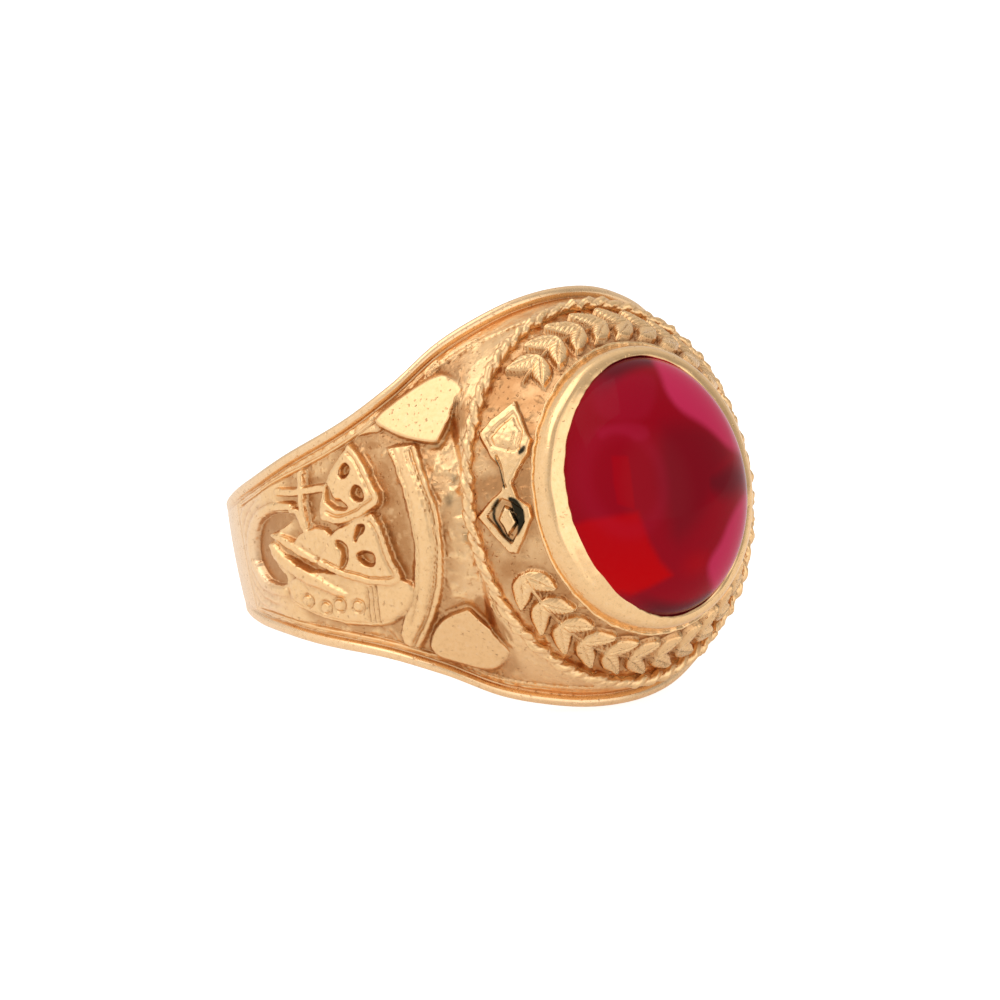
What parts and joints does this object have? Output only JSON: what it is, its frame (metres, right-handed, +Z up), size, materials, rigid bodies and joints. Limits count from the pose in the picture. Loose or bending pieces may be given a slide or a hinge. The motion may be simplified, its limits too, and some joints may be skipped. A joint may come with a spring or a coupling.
{
  "type": "class ring",
  "caption": "Cast gold class ring with an oval red cabochon in a smooth bezel, a sloped name band inside a rope border and worked shoulders, lying on its side.",
  "frame": {"origin": "middle of the footprint of the ring as it lies on its side, on the surface that it rests on", "axes": "+Z up from the surface, the stone faces -Y and a little up, +X across the stone"},
  "size_m": [0.0224, 0.0296, 0.0189],
  "materials": {
    "gold": "polished high points over a matt cast ground",
    "red_stone": "polished"
  },
  "bodies": {
    "root": {"band": "gold", "stone": "red_stone"}
  },
  "joints": []
}
